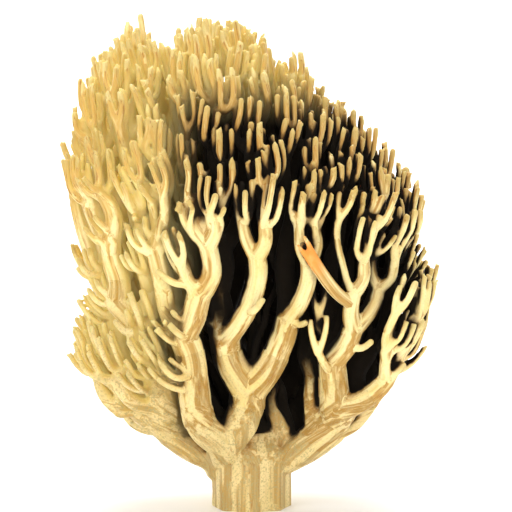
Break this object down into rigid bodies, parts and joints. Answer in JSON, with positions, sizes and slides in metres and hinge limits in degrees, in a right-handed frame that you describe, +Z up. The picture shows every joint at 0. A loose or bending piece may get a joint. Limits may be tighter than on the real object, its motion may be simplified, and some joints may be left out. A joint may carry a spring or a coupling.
{
  "type": "coral fungus",
  "caption": "Coral-shaped fungus with a thick pale base that forks into a dense crown of upright yellow branches, cut off flat at the bottom so that it stands by itself.",
  "frame": {"origin": "in the middle of the fungus, on the plane of the flat cut under its base", "axes": "+Z up along the growth of the branches, +X to the right in the picture, -Y towards the viewer of the picture"},
  "size_m": [0.1129, 0.0845, 0.1475],
  "materials": {
    "base_flesh": "pale cream, soft and matt",
    "trunk_flesh": "pale yellow, faintly ribbed and soft",
    "crown_flesh": "ochre yellow, soft with a slight waxy sheen"
  },
  "bodies": {
    "root": {"branch_01_1": "crown_flesh", "branch_01_2": "crown_flesh", "branch_02_1": "crown_flesh", "branch_04_1": "crown_flesh", "branch_04_2": "crown_flesh", "branch_06_1": "crown_flesh", "branch_06_2": "crown_flesh", "branch_07_1": "crown_flesh", "branch_08_1": "crown_flesh", "branch_08_2": "crown_flesh", "branch_09_1": "crown_flesh", "branch_10_1": "crown_flesh", "branch_10_2": "crown_flesh", "branch_11_1": "crown_flesh", "branch_11_2": "crown_flesh", "branch_11_3": "crown_flesh", "branch_12_1": "crown_flesh", "branch_12_2": "crown_flesh", "branch_13_1": "crown_flesh", "branch_13_2": "crown_flesh", "stump": "base_flesh", "trunk_01": "trunk_flesh", "trunk_02": "trunk_flesh", "trunk_03": "trunk_flesh", "trunk_04": "trunk_flesh", "trunk_05": "trunk_flesh", "trunk_06": "trunk_flesh", "trunk_07": "trunk_flesh", "trunk_08": "trunk_flesh", "trunk_09": "trunk_flesh", "trunk_10": "trunk_flesh", "trunk_11": "trunk_flesh", "trunk_12": "trunk_flesh", "trunk_13": "trunk_flesh"}
  },
  "joints": []
}
